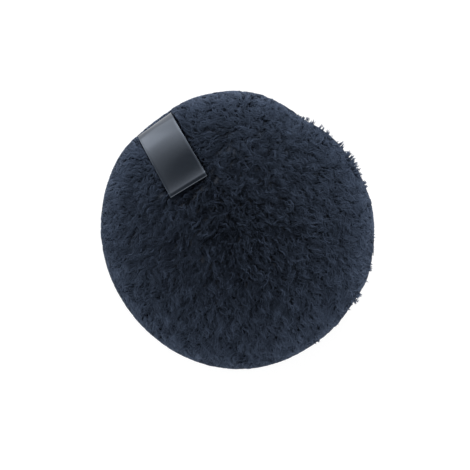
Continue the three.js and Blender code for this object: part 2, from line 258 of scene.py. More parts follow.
# The selvedge, as shares of half the width, and the step past the crease
SELVEDGE_START = 0.93
SELVEDGE_WIDTH = 0.04
CREASE_STEP = 0.06 * MM

# The twist, as shares of the tab's length and half width, and the dip into the seam: its reach and depth
# in the middle, and what the right edge adds
TWIST_START = 0.05
TWIST_SPAN = 0.65
TWIST_MIDDLE = 0.4
DIP_REACH = (6.5 * MM, 2.5 * MM)
DIP_DEPTH = (1.45 * MM, -0.35 * MM)

# The picture: its width, the puff's middle and diameter in pixels and the direction of the tab, and the
# camera's distance and sensor
PICTURE_PIXELS = 470
MIDDLE_PIXELS = (236.9, 230.9)
DIAMETER_PIXELS = 272.5
TAB_DIRECTION = math.radians(127.6)
CAMERA_DISTANCE = 0.8
SENSOR_WIDTH = 36.0

# Maps that hold the fibres' tones and heights, and places on the flat ribbon in millimetres
BAKE_MAP = "OFBake"
RIBBON_MAP = "ribbon"

# Light of the room: height of a direction, from 0 level to 1 straight up, and its strength
ROOM_LIGHT = (
    (0.0, 1.4),
    (0.1, 1.85),
    (0.35, 1.75),
    (0.55, 1.5),
    (0.68, 1.28),
    (0.72, 1.08),
    (0.775, 0.8),
    (0.81, 0.51),
    (0.842, 0.36),
    (0.868, 0.18),
    (0.89, 0.07),
    (1.0, 0.04),
)

# Soft lamps: name, bearing in the picture and height above the floor in degrees, watts and size
LAMP_DISTANCE = 1.2
SOFT_LAMPS = (
    ("key", 85, 36, 11, 0.8),
    ("fill", 155, 20, 2.4, 1.0),
)

# The floor: half its width, its gap below the puff, its glow, and the part of it that takes the shadow
FLOOR_HALF_WIDTH = 1.5
FLOOR_GAP = 0.3 * MM
FLOOR_GLOW = 0.86
FLOOR_SHADOWED = 0.22


class PlushSettings(bpy.types.PropertyGroup):
    """Sizes and colours of the plush"""

    pile_length: FloatProperty(
        name="Pile Length", description="Length of one fibre of the pile", default=7.8 * MM, unit="LENGTH"
    )
    fibre_width: FloatProperty(
        name="Fibre Width", description="Width of one fibre at its root", default=0.44 * MM, unit="LENGTH"
    )
    lock_radius: FloatProperty(
        name="Lock Radius",
        description="Radius over which the roots of one lock of fibres are spread",
        default=0.75 * MM,
        unit="LENGTH",
    )
    fibres_per_lock: IntProperty(
        name="Fibres per Lock", description="Fibres that lean and curl together", default=5
    )
    locks_per_tuft: IntProperty(
        name="Locks per Tuft", description="Locks whose tips draw together", default=9
    )
    front_locks: IntProperty(
        name="Front Locks", description="Locks of fibres on the front", default=9600
    )
    back_locks: IntProperty(
        name="Back Locks", description="Locks of fibres on the back", default=3500
    )
    # Painted shade: the fibres are painted darker at the root, deep in the pile, than at their tips
    shaded_root_colour: FloatVectorProperty(
        name="Root Colour",
        description="Colour deep in the pile",
        default=(0.008, 0.0108, 0.0165),
        subtype="COLOR",
    )
    tip_colour: FloatVectorProperty(
        name="Tip Colour",
        description="Colour at the tips of the fibres",
        default=(0.0223, 0.0297, 0.0457),
        subtype="COLOR",
    )


class RibbonSettings(bpy.types.PropertyGroup):
    """Sizes and colours of the satin ribbon"""

    satin_colour: FloatVectorProperty(
        name="Satin Colour",
        description="Colour of the ribbon's floating warp",
        default=(0.0075, 0.01, 0.014),
        subtype="COLOR",
    )
    end_lift: FloatProperty(
        name="End Lift",
        description="How far the folded end stands off the pile",
        default=1.2 * MM,
        unit="LENGTH",
    )
    twist: FloatProperty(
        name="Twist",
        description="How far one edge rises and the other sinks towards the folded end",
        default=0.8 * MM,
        unit="LENGTH",
    )
    pinch: FloatProperty(
        name="Pinch",
        description="How far one edge is drawn in where the ribbon enters the seam",
        default=0.9 * MM,
        unit="LENGTH",
    )
    arch: FloatProperty(
        name="Arch",
        description="How far the ribbon's edges lie below its middle",
        default=0.28 * MM,
        unit="LENGTH",
    )
    selvedge_height: FloatProperty(
        name="Selvedge Height",
        description="How far the corded edges stand above the weave",
        default=0.06 * MM,
        unit="LENGTH",
    )


class CoreSettings(bpy.types.PropertyGroup):
    """Cells and colour of the foam core"""

    foam_colour: FloatVectorProperty(
        name="Foam Colour",
        description="Colour of the foam's cell walls",
        default=(0.86, 0.84, 0.76),
        subtype="COLOR",
    )
    cell_size: FloatProperty(
        name="Cell Size", description="Width of one open cell of the foam", default=0.9 * MM, unit="LENGTH"
    )


class ThreadSettings(bpy.types.PropertyGroup):
    """Colour of the sewing threads"""

    thread_colour: FloatVectorProperty(
        name="Thread Colour",
        description="Colour of the spun sewing thread",
        default=(0.006, 0.0075, 0.011),
        subtype="COLOR",
    )


class StageSettings(bpy.types.PropertyGroup):
    """Floor and light"""

    floor_colour: FloatVectorProperty(
        name="Floor Colour", description="Colour of the floor", default=(0.86, 0.86, 0.86), subtype="COLOR"
    )


# Helpers for meshes and objects


def link(name, mesh):
    """A new object for a mesh, in the scene."""
    thing = bpy.data.objects.new(name, mesh)
    bpy.context.scene.collection.objects.link(thing)
    return thing


def mesh_from(name, shape):
    """A new mesh from a bmesh, which is freed."""
    mesh = bpy.data.meshes.new(name)
    shape.to_mesh(mesh)
    shape.free()
    return mesh


def set_order(shape):
    """Puts edges and faces in their vertices' order, because spin's own order changes from run to run."""
    shape.verts.index_update()
    for elements in (shape.edges, shape.faces):
        ranked = sorted(elements, key=lambda element: sorted(vert.index for vert in element.verts))
        for rank, element in enumerate(ranked):
            element.index = rank
        elements.sort()


def turned(profile, steps):
    """A profile of radii and heights, turned about the puff's axis."""
    shape = bmesh.new()
    line = [shape.verts.new((radius, 0, height)) for radius, height in profile]
    for first, second in zip(line, line[1:]):
        shape.edges.new((first, second))
    bmesh.ops.spin(
        shape,
        geom=shape.verts[:] + shape.edges[:],
        cent=(0, 0, 0),
        axis=(0, 0, 1),
        angle=2 * math.pi,
        steps=steps,
        use_merge=True,
    )
    bmesh.ops.remove_doubles(shape, verts=shape.verts, dist=MERGE_DISTANCE)
    bmesh.ops.recalc_face_normals(shape, faces=shape.faces)
    set_order(shape)
    return shape


def crown_line(flat, rim, base, top, steps):
    """Radius and height from the flat middle of a face out to its rim, with a rounded shoulder."""
    angles = np.linspace(math.pi / 2, 0, steps + 1)
    reach = np.maximum(np.cos(angles), 0) ** (2 / CROWN_POWER)
    reach[0] = 0
    return np.column_stack((flat + (rim - flat) * reach, base + (top - base) * np.sin(angles)))


def ground_line(side, steps):
    """Profile of the ground cloth of the front (side 1) or back (side -1), from its middle to the seam."""
    rim = RIM_RADIUS - RIM_PILE_DEPTH
    shoulder = SEAM_HEIGHT + side * (SEAM_GAP + SEAM_ROLL)
    if side > 0:
        crown = crown_line(0, rim, shoulder, CROWN_HEIGHT - PILE_DEPTH, steps)
    else:
        crown = crown_line(REST_RADIUS, rim, shoulder, REST_HEIGHT + PILE_DEPTH, steps)
        middle = np.linspace(0, REST_RADIUS, steps // 2, endpoint=False)
        flat = np.column_stack((middle, np.full_like(middle, REST_HEIGHT + PILE_DEPTH)))
        crown = np.vstack((flat, crown))
    turn = np.linspace(0, math.pi / 2, 5)[1:]
    tuck_radius = rim - SEAM_ROLL + SEAM_ROLL * np.cos(turn)
    tuck_height = shoulder - side * SEAM_ROLL * np.sin(turn)
    return np.vstack((crown, np.column_stack((tuck_radius, tuck_height))))


def polar(points):
    """Each point's distance from the puff's axis, and its direction in degrees."""
    return np.hypot(points[:, 0], points[:, 1]), np.degrees(np.arctan2(points[:, 1], points[:, 0]))


def turn_from(direction, degrees):
    """How far each of the directions is turned from one, from -180 to 180 degrees."""
    return (degrees - direction + 180) % 360 - 180


def rim_change(degrees, swells=RIM_SWELLS):
    """How far the rim is pressed in or stands out in each direction."""
    change = np.zeros_like(degrees)
    for direction, depth, width in swells:
        change += depth * np.exp(-((turn_from(direction, degrees) / width) ** 2))
    return change


def swells_of(side):
    """Where the rim of the front (side 1) or back (side -1) is pressed in or stands out."""
    return RIM_SWELLS + (TAB_PRESS if side > 0 else TAB_BACKING)


def swell(points, swells=RIM_SWELLS):
    """Moves points in or out where the rim is pressed in or stands out."""
    radius, degrees = polar(points)
    share = 1 + rim_change(degrees, swells) / RIM_RADIUS * np.clip(radius / RIM_RADIUS, 0, 1) ** 2
    moved = points.copy()
    moved[:, :2] *= share[:, None]
    return moved


def mesh_points(mesh):
    """The mesh's vertices as an array."""
    flat = np.empty(len(mesh.vertices) * 3)
    mesh.vertices.foreach_get("co", flat)
    return flat.reshape(-1, 3)


def set_mesh_points(mesh, points):
    """Moves the mesh's vertices."""
    mesh.vertices.foreach_set("co", points.ravel())
    mesh.update()


def shade_smooth(mesh):
    """Smooth faces all over."""
    mesh.polygons.foreach_set("use_smooth", np.ones(len(mesh.polygons), dtype=bool))
    mesh.update()


def thicken(sheet, thickness, offset):
    """Gives a sheet its thickness: all of it below (offset -1) or half on either side (offset 0)."""
    modifier = sheet.modifiers.new("thickness", "SOLIDIFY")
    modifier.thickness = thickness
    modifier.offset = offset


# Helpers for materials


def grey(level):
    """A grey of a level."""
    return (level, level, level)


def set_stops(ramp, stops):
    """Puts colours at their places along a ramp node."""
    elements = ramp.color_ramp.elements
    while len(elements) < len(stops):
        elements.new(0.5)
    for element, (place, colour) in zip(elements, stops):
        element.position = place
        element.color = (*colour, 1)


class Finish:
    """A material with its Principled shader and short calls for its other nodes."""

    def __init__(self, name):
        self.material = bpy.data.materials.new(name)
        self.material.use_nodes = True
        self.tree = self.material.node_tree
        self.shader = self.tree.nodes["Principled BSDF"]

    def set(self, **values):
        for name, value in values.items():
            self.shader.inputs[name.replace("_", " ")].default_value = value

    def node(self, kind, inputs=None, **settings):
        made = self.tree.nodes.new("ShaderNode" + kind)
        for name, value in settings.items():
            setattr(made, name, value)
        for name, value in (inputs or {}).items():
            made.inputs[name].default_value = value
        return made

    def wire(self, source, target):
        self.tree.links.new(source, target)

    def paint(self, colour):
        self.wire(colour, self.shader.inputs["Base Color"])

    def math(self, operation, first, second):
        made = self.node("Math", operation=operation)
        for socket, value in zip(made.inputs, (first, second)):
            if isinstance(value, (int, float)):
                socket.default_value = value
            else:
                self.wire(value, socket)
        return made.outputs[0]

    def multiply(self, first, second):
        made = self.node("Mix", {"Factor": 1}, data_type="RGBA", blend_type="MULTIPLY")
        self.wire(first, made.inputs["A"])
        self.wire(second, made.inputs["B"])
        return made.outputs["Result"]

    def texture(self, kind, place, inputs, **settings):
        made = self.node("Tex" + kind, inputs, **settings)
        self.wire(place, made.inputs["Vector"])
        return made

    def split(self, place):
        made = self.node("SeparateXYZ")
        self.wire(place, made.inputs[0])
        return made.outputs

    def ramp(self, source, stops):
        made = self.node("ValToRGB")
        set_stops(made, stops)
        self.wire(source, made.inputs[0])
        return made.outputs[0]

    def bump(self, height, strength, distance):
        made = self.node("Bump", {"Strength": strength, "Distance": distance})
        self.wire(height, made.inputs["Height"])
        self.wire(made.outputs[0], self.shader.inputs["Normal"])


def pile_finish(settings):
    """Near-black fibres with a blue cast, painted dark at the root as painted shade and paler at the tip;
    each lock its own tone, with painted light in it.
    """
    finish = Finish("plush_pile")
    finish.set(Roughness=0.55, Specular_IOR_Level=0.05, Specular_Tint=(0.6, 0.76, 1.0, 1))
    finish.set(Sheen_Weight=0.02, Sheen_Roughness=0.5, Sheen_Tint=(0.5, 0.66, 1.0, 1))
    parts = finish.split(finish.node("UVMap", uv_map=BAKE_MAP).outputs[0])
    root = Vector(settings.shaded_root_colour)
    tip = Vector(settings.tip_colour)
    # Painted shade: the colour darkens from the tip down to the root, deep in the pile
    along = finish.ramp(parts["Y"], ((0.1, root), (0.6, root.lerp(tip, 0.7)), (1.0, tip)))
    # The tone multiplies the colour; it holds painted shade at the crown, a painted sheen at the rim and
    # painted glints
    tones = ((0.0, grey(0.05)), (0.35, grey(0.95)), (0.75, grey(2.5)), (1.0, (4.4, 4.2, 4.0)))
    finish.paint(finish.multiply(along, finish.ramp(parts["X"], tones)))
    return finish.material


def ground_finish(settings):
    """The knitted ground under the pile: fine ribs, almost black, painted darker about the crown and paler
    towards the rim as painted light.
    """
    finish = Finish("plush_ground")
    finish.set(Roughness=0.9)
    place = finish.node("TexCoord").outputs["Object"]
    knit = {"Scale": 400, "Distortion": 2}
    ribs = finish.texture("Wave", place, knit, wave_type="BANDS", bands_direction="X")
    root = Vector(settings.shaded_root_colour)
    colour = finish.ramp(ribs.outputs["Fac"], ((0.0, root * 1.4), (1.0, root * 3.0)))
    # Painted light: the ground is painted darker about the crown as painted shade and paler towards the rim,
    # following the pile's tone
    from_middle = finish.node("VectorMath", operation="LENGTH")
    finish.wire(place, from_middle.inputs[0])
    outward = finish.math("DIVIDE", from_middle.outputs["Value"], RIM_RADIUS)
    painted_light_stops = ((0.4, grey(0.25)), (0.7, grey(1.2)), (1.0, grey(4.0)))
    finish.paint(finish.multiply(colour, finish.ramp(outward, painted_light_stops)))
    finish.bump(ribs.outputs["Fac"], 0.5, 0.2 * MM)
    return finish.material


# The ground cloth


def ground_cloth(name, side):
    """One cover's knitted ground: a crowned sheet turned about the puff's axis, drawn in at the seam."""
    profile = ground_line(side, GROUND_STEPS).tolist()
    profile.append((profile[-1][0] - ALLOWANCE, profile[-1][1]))
    shape = turned(profile, GROUND_TURNS)
    if sum(face.normal.z * face.calc_area() for face in shape.faces) * side < 0:
        bmesh.ops.reverse_faces(shape, faces=shape.faces)
    mesh = mesh_from(name, shape)
    set_mesh_points(mesh, swell(mesh_points(mesh), swells_of(side)))
    shade_smooth(mesh)
    return link(name, mesh)


def inflate(cloth):
    """Fills the cloth by simulation, with its sewn edge held, and keeps each point within a limit."""
    points = mesh_points(cloth.data)
    heights = np.abs(points[:, 2] - SEAM_HEIGHT)
    sewn = np.flatnonzero(heights < SEAM_GAP * 2)
    group = cloth.vertex_groups.new(name="sewn")
    group.add(sewn.tolist(), 1.0, "REPLACE")
    modifier = cloth.modifiers.new("filling", "CLOTH")
    fabric = modifier.settings
    fabric.vertex_group_mass = group.name
    fabric.use_pressure = True
    fabric.uniform_pressure_force = FILL_PRESSURE
    fabric.effector_weights.gravity = 0
    fabric.bending_stiffness = FILL_STIFFNESS
    for step in range(1, FILL_FRAMES + 1):
        bpy.context.scene.frame_set(step)
    seen = cloth.evaluated_get(bpy.context.evaluated_depsgraph_get())
    moved = mesh_points(seen.data) - points
    reach = np.linalg.norm(moved, axis=1, keepdims=True)
    moved *= np.minimum(1, FILL_LIMIT / np.maximum(reach, 1e-9))
    cloth.modifiers.remove(modifier)
    bpy.context.scene.frame_set(1)
    set_mesh_points(cloth.data, points + moved)


# The pile


def ground_tree(cloth):
    """A search tree of the cloth's faces."""
    shape = bmesh.new()
    shape.from_mesh(cloth.data)
    tree = BVHTree.FromBMesh(shape)
    shape.free()
    return tree


def snap(tree, points):
    """The nearest places on a cloth and the normals there."""
    found = [tree.find_nearest(Vector(point)) for point in points]
    places = np.array([place for place, normal, index, distance in found])
    normals = np.array([normal for place, normal, index, distance in found])
    return places, normals


def lock_places(tree, side, count, rng):
    """Evenly scattered places on a ground cloth and their normals: a sunflower spiral, a little disturbed."""
    line = ground_line(side, LOCK_LINE_STEPS)
    steps = np.hypot(*np.diff(line, axis=0).T)
    between = (line[1:, 0] + line[:-1, 0]) / 2
    crowding = 1 + RIM_CROWDING * (between / RIM_RADIUS) ** 8 + np.exp(-((between / CROWDED_RADIUS) ** 2))
    area = np.concatenate(((0,), np.cumsum(steps * between * crowding)))
    spacing = math.sqrt(2 * math.pi * area[-1] / count)
    order = np.arange(count)
    share = (order + rng.uniform(0, 1, count)) / count * area[-1]
    turn = order * math.pi * (3 - math.sqrt(5))
    radius = np.interp(share, area, line[:, 0])
    height = np.interp(share, area, line[:, 1])
    points = np.column_stack((radius * np.cos(turn), radius * np.sin(turn), height))
    points += rng.normal(0, 0.25 * spacing, points.shape)
    return snap(tree, swell(points))


def unit(vectors):
    """Vectors of length one."""
    return vectors / np.maximum(np.linalg.norm(vectors, axis=-1, keepdims=True), 1e-12)


def column(values):
    """One value for each vector."""
    return values[:, None]


def drift(points, strength, grain, shift):
    """Smooth noise over the puff, up to about the strength either way, with lumps of the grain's size."""
    offset = Vector((shift, -shift, shift / 2))
    return strength * np.array([noise.noise(Vector(point) / grain + offset) for point in points])


def nearest(points, heads):
    """For each point, which of the heads is nearest and how far away it is."""
    tree = KDTree(len(heads))
    for index, head in enumerate(heads):
        tree.insert(Vector(head), index)
    tree.balance()
    found = [tree.find(Vector(point))[1:] for point in points]
    indices, distances = zip(*found)
    return np.array(indices), np.array(distances)


def tuft_tips():
    """Seen from above, the tips of the front's tufts: every third point of rings about the crown."""
    tips = [(0.0, 0.0, 0.0)]
    for ring in range(1, NAP_RINGS):
        for step in range(6 * ring):
            if (ring + step % ring) % 3 == 0:
                angle = math.pi / 3 * (step + TUFT_STRAY * math.sin(3 * ring + 7 * step)) / ring
                radius = RIM_RADIUS * (ring + TUFT_STRAY * math.sin(5 * ring + 11 * step)) / NAP_RINGS
                tips.append((radius * math.cos(angle), radius * math.sin(angle), 0.0))
    return np.array(tips)


def parting(points):
    """How deep in a parting of the front's nap each point lies: 0 at a tuft's tip, 1 midway between tips."""
    level = points * (1, 1, 0)
    tip, away = nearest(level, tuft_tips())
    return np.clip(away / PARTING_REACH, 0, 1)


def ruffle_reach(centres, loose):
    """How far past the plush's outline each lock stands: loose locks do, where the rim is ruffled."""
    _, degrees = polar(centres)
    reach = np.zeros(len(centres))
    for direction, width, most, looseness in RUFFLES:
        fade = np.exp(-((turn_from(direction, degrees) / width) ** 4))
        reach = np.maximum(reach, np.where(loose > looseness, most * fade, 0))
    return reach


def grow_locks(tree, side, count, settings, rng):
    """The locks of one cover: where they stand, and how they lean, curl, shade and stand out."""
    centres, normals = lock_places(tree, side, count, rng)
    if side < 0:
        more_centres, more_normals = lock_places(tree, side, 3 * count, rng)
        behind_tab = np.abs(more_centres[:, 0]) < RIBBON_WIDTH * BEHIND_TAB_SHARE
        behind_tab &= more_centres[:, 1] > RIM_RADIUS - BEHIND_TAB_DEPTH
        centres = np.vstack((centres, more_centres[behind_tab]))
        normals = np.vstack((normals, more_normals[behind_tab]))
        count = len(centres)
    radius, _ = polar(centres)
    rimness = np.clip(radius / RIM_RADIUS, 0, 1)
    round_way = unit(np.column_stack((-centres[:, 1], centres[:, 0], np.zeros(count))))
    down_way = unit(np.cross(round_way, normals)) * side
    middle = np.clip(1 - radius / WHORL_RADIUS, 0, 1)
    tuft_heads, _ = lock_places(tree, side, max(count // settings.locks_per_tuft, 1), rng)
    tuft, _ = nearest(centres, tuft_heads)
    wild = rng.uniform(-WHORL_TURN, WHORL_TURN, len(tuft_heads))[tuft]
    swirl = drift(centres, *SWIRL_DRIFT) + rng.normal(0, LOCK_VARIES.tuft_swirl, len(tuft_heads))[tuft]
    swirl += rng.normal(0, LOCK_VARIES.swirl, count) + middle * wild
    lean = down_way * column(np.cos(swirl)) + round_way * column(np.sin(swirl))
    if side > 0:
        way = BRUSHED - BRUSH_TURN * rimness**3
        brushed = np.column_stack((np.cos(way), np.sin(way), np.zeros(count)))
        brushed -= column((brushed * normals).sum(1)) * normals
        lean = unit(lean + column(BRUSHING * (1 - 0.75 * rimness**5)) * brushed)
    bend = rng.uniform(*LOCK_BEND, count) + 0.15 * rimness - 0.3 * middle
    crimp = rng.uniform(*LOCK_CRIMP, count)
    phase = drift(centres, *PHASE_DRIFT) + rng.normal(0, LOCK_VARIES.phase, count)
    curl = drift(centres, *CURL_DRIFT) + rng.normal(0, LOCK_VARIES.curl, count)
    length = settings.pile_length * rng.uniform(*LOCK_LENGTH, count) * (1 - 0.15 * rimness**6 - 0.3 * middle)
    # Painted light: the tone grows from the crown to the rim, as painted shade at the crown and a painted
    # sheen at the rim
    tone = sum(part * rimness**power for part, power in PILE_TONE_WITH_PAINTED_LIGHT)
    calm = 1 - 0.7 * rimness**2
    tone += calm * (drift(centres, *TONE_DRIFT) + rng.normal(0, LOCK_VARIES.tone, count))
    stray = rng.uniform(0, 1, count) > 1 - STRAY_SHARE
    # Painted glints: stray locks are painted paler
    tone += calm * np.where(stray, rng.uniform(*STRAY_PAINTED_GLINT, count), 0)
    length *= np.where(stray, STRAY_LENGTH, 1)
    bend += np.where(stray, STRAY_BEND, 0)
    loose = 0.65 * rng.uniform(0, 1, len(tuft_heads))[tuft] + 0.35 * rng.uniform(0, 1, count)
    reach = ruffle_reach(centres, loose) * (rimness > RUFFLE_START) * (side > 0)
    standing_out = reach > RUFFLE_LEAST
    bend = np.where(standing_out, rng.uniform(*RUFFLE_BEND, count), bend)
    length = np.where(standing_out, RIM_PILE_DEPTH + reach * rng.uniform(*RUFFLE_LENGTH, count), length)
    curl *= np.where(standing_out, 0.5, 1)
    places = dict(centres=centres, normals=normals, round_way=round_way, down_way=down_way, rimness=rimness)
    shapes = dict(lean=lean, bend=bend, crimp=crimp, phase=phase, curl=curl, length=length)
    looks = dict(tone=tone, calm=calm, reach=reach, standing_out=standing_out)
    return SimpleNamespace(**places, **shapes, **looks)


def grow_fibres(locks, tree, side, settings, rng):
    """The fibres of the locks, gathered at their tips: points, tones, widths and reach past the rim."""
    each = np.repeat(np.arange(len(locks.centres)), settings.fibres_per_lock)
    total = len(each)
    spread = settings.lock_radius * np.sqrt(rng.uniform(0, 1, total))
    spread *= np.where(locks.standing_out, 0.8, 1)[each]
    turn = rng.uniform(0, 2 * math.pi, total)
    offset = locks.round_way[each] * column(np.cos(turn) * spread)
    offset += locks.down_way[each] * column(np.sin(turn) * spread)
    roots, _ = snap(tree, locks.centres[each] + offset)
    up = unit(locks.normals[each] + rng.normal(0, FIBRE_VARIES.up, (total, 3)))
    forward = locks.lean[each] + rng.normal(0, FIBRE_VARIES.lean, (total, 3))
    forward = unit(forward - column((forward * up).sum(1)) * up)
    side_way = np.cross(up, forward)
    stretch = locks.length[each] * rng.uniform(*FIBRE_LENGTH, total)
    bend = locks.bend[each] + rng.normal(0, FIBRE_VARIES.bend, total)
    crimp = locks.crimp[each] * rng.uniform(*FIBRE_CRIMP, total)
    phase = locks.phase[each] + rng.normal(0, FIBRE_VARIES.phase, total)
    curl = locks.curl[each] + rng.normal(0, FIBRE_VARIES.curl, total)

    drawn = np.where(locks.standing_out, 0.95, 0.9 - 0.3 * locks.rimness**4)
    gather = column(drawn[each]) * (roots - locks.centres[each])
    if side > 0:
        ends = (locks.centres + locks.lean * column(0.75 * locks.length)) * (1, 1, 0)
        tips = tuft_tips()
        tip, _ = nearest(ends, tips)
        gather += (column(TUFT_DRAW * (1 - locks.rimness**6)) * (ends - tips[tip]))[each]
    points = np.empty((total, FIBRE_STEPS + 1, 3))
    points[:, 0] = roots - up * ROOT_DEPTH
    travelled = np.zeros((total, 3))
    for step in range(FIBRE_STEPS):
        share = (step + 0.5) / FIBRE_STEPS
        tilt = bend * share**0.8
        swing = curl * share + crimp * np.sin(2 * math.pi * (1.3 * share + phase))
        heading = forward * column(np.cos(swing)) + side_way * column(np.sin(swing))
        stride = up * column(np.cos(tilt)) + heading * column(np.sin(tilt))
        travelled += stride * column(stretch / FIBRE_STEPS)
        pull = ((step + 1) / FIBRE_STEPS) ** 1.3
        points[:, step + 1] = roots + travelled - gather * pull

    # Painted glints: a share of the fibres are painted paler, as highlights on single strands
    bright = np.where(rng.uniform(0, 1, total) > 1 - PAINTED_GLINT_SHARE, PAINTED_GLINT_TONE, 0)
    shade = rng.normal(-FIBRE_DARKER, FIBRE_VARIES.tone, total) + bright
    tones = np.clip(locks.tone[each] + locks.calm[each] * shade, *TONE_LIMITS)
    widths = settings.fibre_width * rng.uniform(*FIBRE_BREADTH, total)
    return points, tones, widths, locks.reach[each]


def press(outward, height, span, rise):
    """Moves what lies past a crowned outline straight in to it: how far out and how high it then is."""
    for _ in range(4):
        excess = np.maximum((outward / span) ** CROWN_POWER + (height / rise) ** 2 - 1, 0)
        slope_out = CROWN_POWER * (outward / span) ** (CROWN_POWER - 1) / span
        slope_up = 2 * height / rise**2
        step = excess / np.maximum(slope_out**2 + slope_up**2, 1e-9)
        outward = outward - step * slope_out
        height = height - step * slope_up
    return outward, height


def within_plush(points, side, reach, rng):
    """Combs fibres down to the plush's own outline, save for those that reach past it."""
    shape = points.shape
    uneven = np.repeat(LONG_TIPS - SHORT_TIPS * rng.uniform(0, 1, len(points)) ** 2, shape[1])
    past = np.repeat(reach, shape[1])
    flat = points.reshape(-1, 3)
    radius, degrees = polar(flat)
    swells = RIM_SWELLS if side > 0 else swells_of(side)
    rim = RIM_RADIUS + uneven + past + rim_change(degrees, swells)
    base = SEAM_HEIGHT + side * SHOULDER
    top = CROWN_HEIGHT if side > 0 else REST_HEIGHT
    rise = abs(top - base) + uneven + 0.3 * past
    if side > 0:
        rise += CROWN_PROUD - TUFT_DEPTH * parting(flat)
    inner = 0 if side > 0 else REST_RADIUS
    height = np.maximum((flat[:, 2] - base) * side, 0)
    from_inner = np.maximum(radius - inner, 0)
    pressed_out, pressed_height = press(from_inner, height, rim - inner, rise)
    kept = radius - from_inner + pressed_out
    flat[:, :2] *= column(kept / np.maximum(radius, 1e-9))
    flat[:, 2] = np.where(height > 0, base + side * pressed_height, flat[:, 2])
    return flat.reshape(shape)


def under_ribbon(points, depth, rim_depth):
    """Presses the plush down where the tab lies on it, so far below the tab's bed on top and at the rim."""
    flat = points.reshape(-1, 3)
    shift = -(RIM_RADIUS - flat[:, 1]) * math.tan(TAB_SKEW) * PRESS_SKEW
    beside = np.abs(flat[:, 0] - shift) < RIBBON_WIDTH / 2 + PRESS_MARGIN
    covered = beside & (flat[:, 1] > TAB_REACH) & (flat[:, 2] > SEAM_HEIGHT)
    base = SEAM_HEIGHT + SHOULDER
    span = RIM_RADIUS - TAB_BED - rim_depth
    rise = CROWN_HEIGHT - base - TAB_BED - depth
    height = np.maximum(flat[:, 2] - base, 0)
    outward, pressed_height = press(np.maximum(flat[:, 1], 0), height, span, rise)
    flat[:, 1] = np.where(covered, outward, flat[:, 1])
    flat[:, 2] = np.where(covered & (height > 0), base + pressed_height, flat[:, 2])
    return flat.reshape(points.shape)


def on_table(points, rng):
    """Flattens the fibres that the puff lies on."""
    least = REST_HEIGHT + rng.uniform(*TABLE_TIPS, points.shape[:2]) * MM
    points[:, :, 2] = np.maximum(points[:, :, 2], least)
    return points


def fibre_mesh(name, points, tones, widths):
    """Closed three-sided fibres, each tapering to a point, with its tone and height in its map."""
    total, stations = points.shape[:2]
    rings = stations - 1
    heading = unit(np.gradient(points, axis=1))[:, :rings]
    side_way = unit(np.cross(heading, np.array(ASKEW)))
    rise = np.cross(heading, side_way)
    taper = 0.5 * widths[:, None] * (1 - 0.55 * np.linspace(0, 1, rings, endpoint=False) ** 2)
    corners = []
    for corner in range(3):
        angle = 2 * math.pi * corner / 3
        arm = side_way * math.cos(angle) + rise * math.sin(angle)
        corners.append(points[:, :rings] + arm * taper[:, :, None])
    body = np.stack(corners, axis=2).reshape(total, rings * 3, 3)
    vertices = np.concatenate((body, points[:, -1:]), axis=1)
    per_fibre = rings * 3 + 1

    loops, sizes = [], []
    for ring in range(rings - 1):
        for corner in range(3):
            after = (corner + 1) % 3
            low, high = ring * 3, ring * 3 + 3
            loops += [low + corner, low + after, high + after, high + corner]
            sizes.append(4)
    last = (rings - 1) * 3
    for corner in range(3):
        loops += [last + corner, last + (corner + 1) % 3, rings * 3]
        sizes.append(3)
    loops += [2, 1, 0]
    sizes.append(3)
    loops, sizes = np.array(loops), np.array(sizes)

    starts = np.arange(total)[:, None] * per_fibre
    all_loops = (loops[None, :] + starts).ravel()
    all_sizes = np.tile(sizes, total)
    mesh = bpy.data.meshes.new(name)
    mesh.vertices.add(total * per_fibre)
    mesh.vertices.foreach_set("co", vertices.ravel())
    mesh.loops.add(len(all_loops))
    mesh.loops.foreach_set("vertex_index", all_loops.astype(np.int32))
    mesh.polygons.add(len(all_sizes))
    mesh.polygons.foreach_set("loop_start", (np.cumsum(all_sizes) - all_sizes).astype(np.int32))
    height = np.append(np.repeat(np.linspace(0, 1, rings, endpoint=False), 3), 1.0)
    breadth = np.append(np.tile((-1, 0, 1), rings), 0) * 0.01
    along = np.broadcast_to(height[loops], (total, len(loops)))
    tone = tones[:, None] + breadth[loops][None, :]
    mapped = np.stack((tone, along), axis=2)
    mesh.uv_layers.new(name=BAKE_MAP).data.foreach_set("uv", mapped.ravel())
    mesh.validate()
    shade_smooth(mesh)
    return mesh


def pile_pieces(name, fibres, parts, finish):
    """The pile as several pieces side by side round the puff."""
    points, tones, widths = fibres
    angle = np.arctan2(points[:, 0, 1], points[:, 0, 0])
    for number, chosen in enumerate(np.array_split(np.argsort(angle), parts), 1):
        piece_name = f"{name}_{number}"
        piece = link(piece_name, fibre_mesh(piece_name, points[chosen], tones[chosen], widths[chosen]))
        piece.data.materials.append(finish)
        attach(piece, "puff")


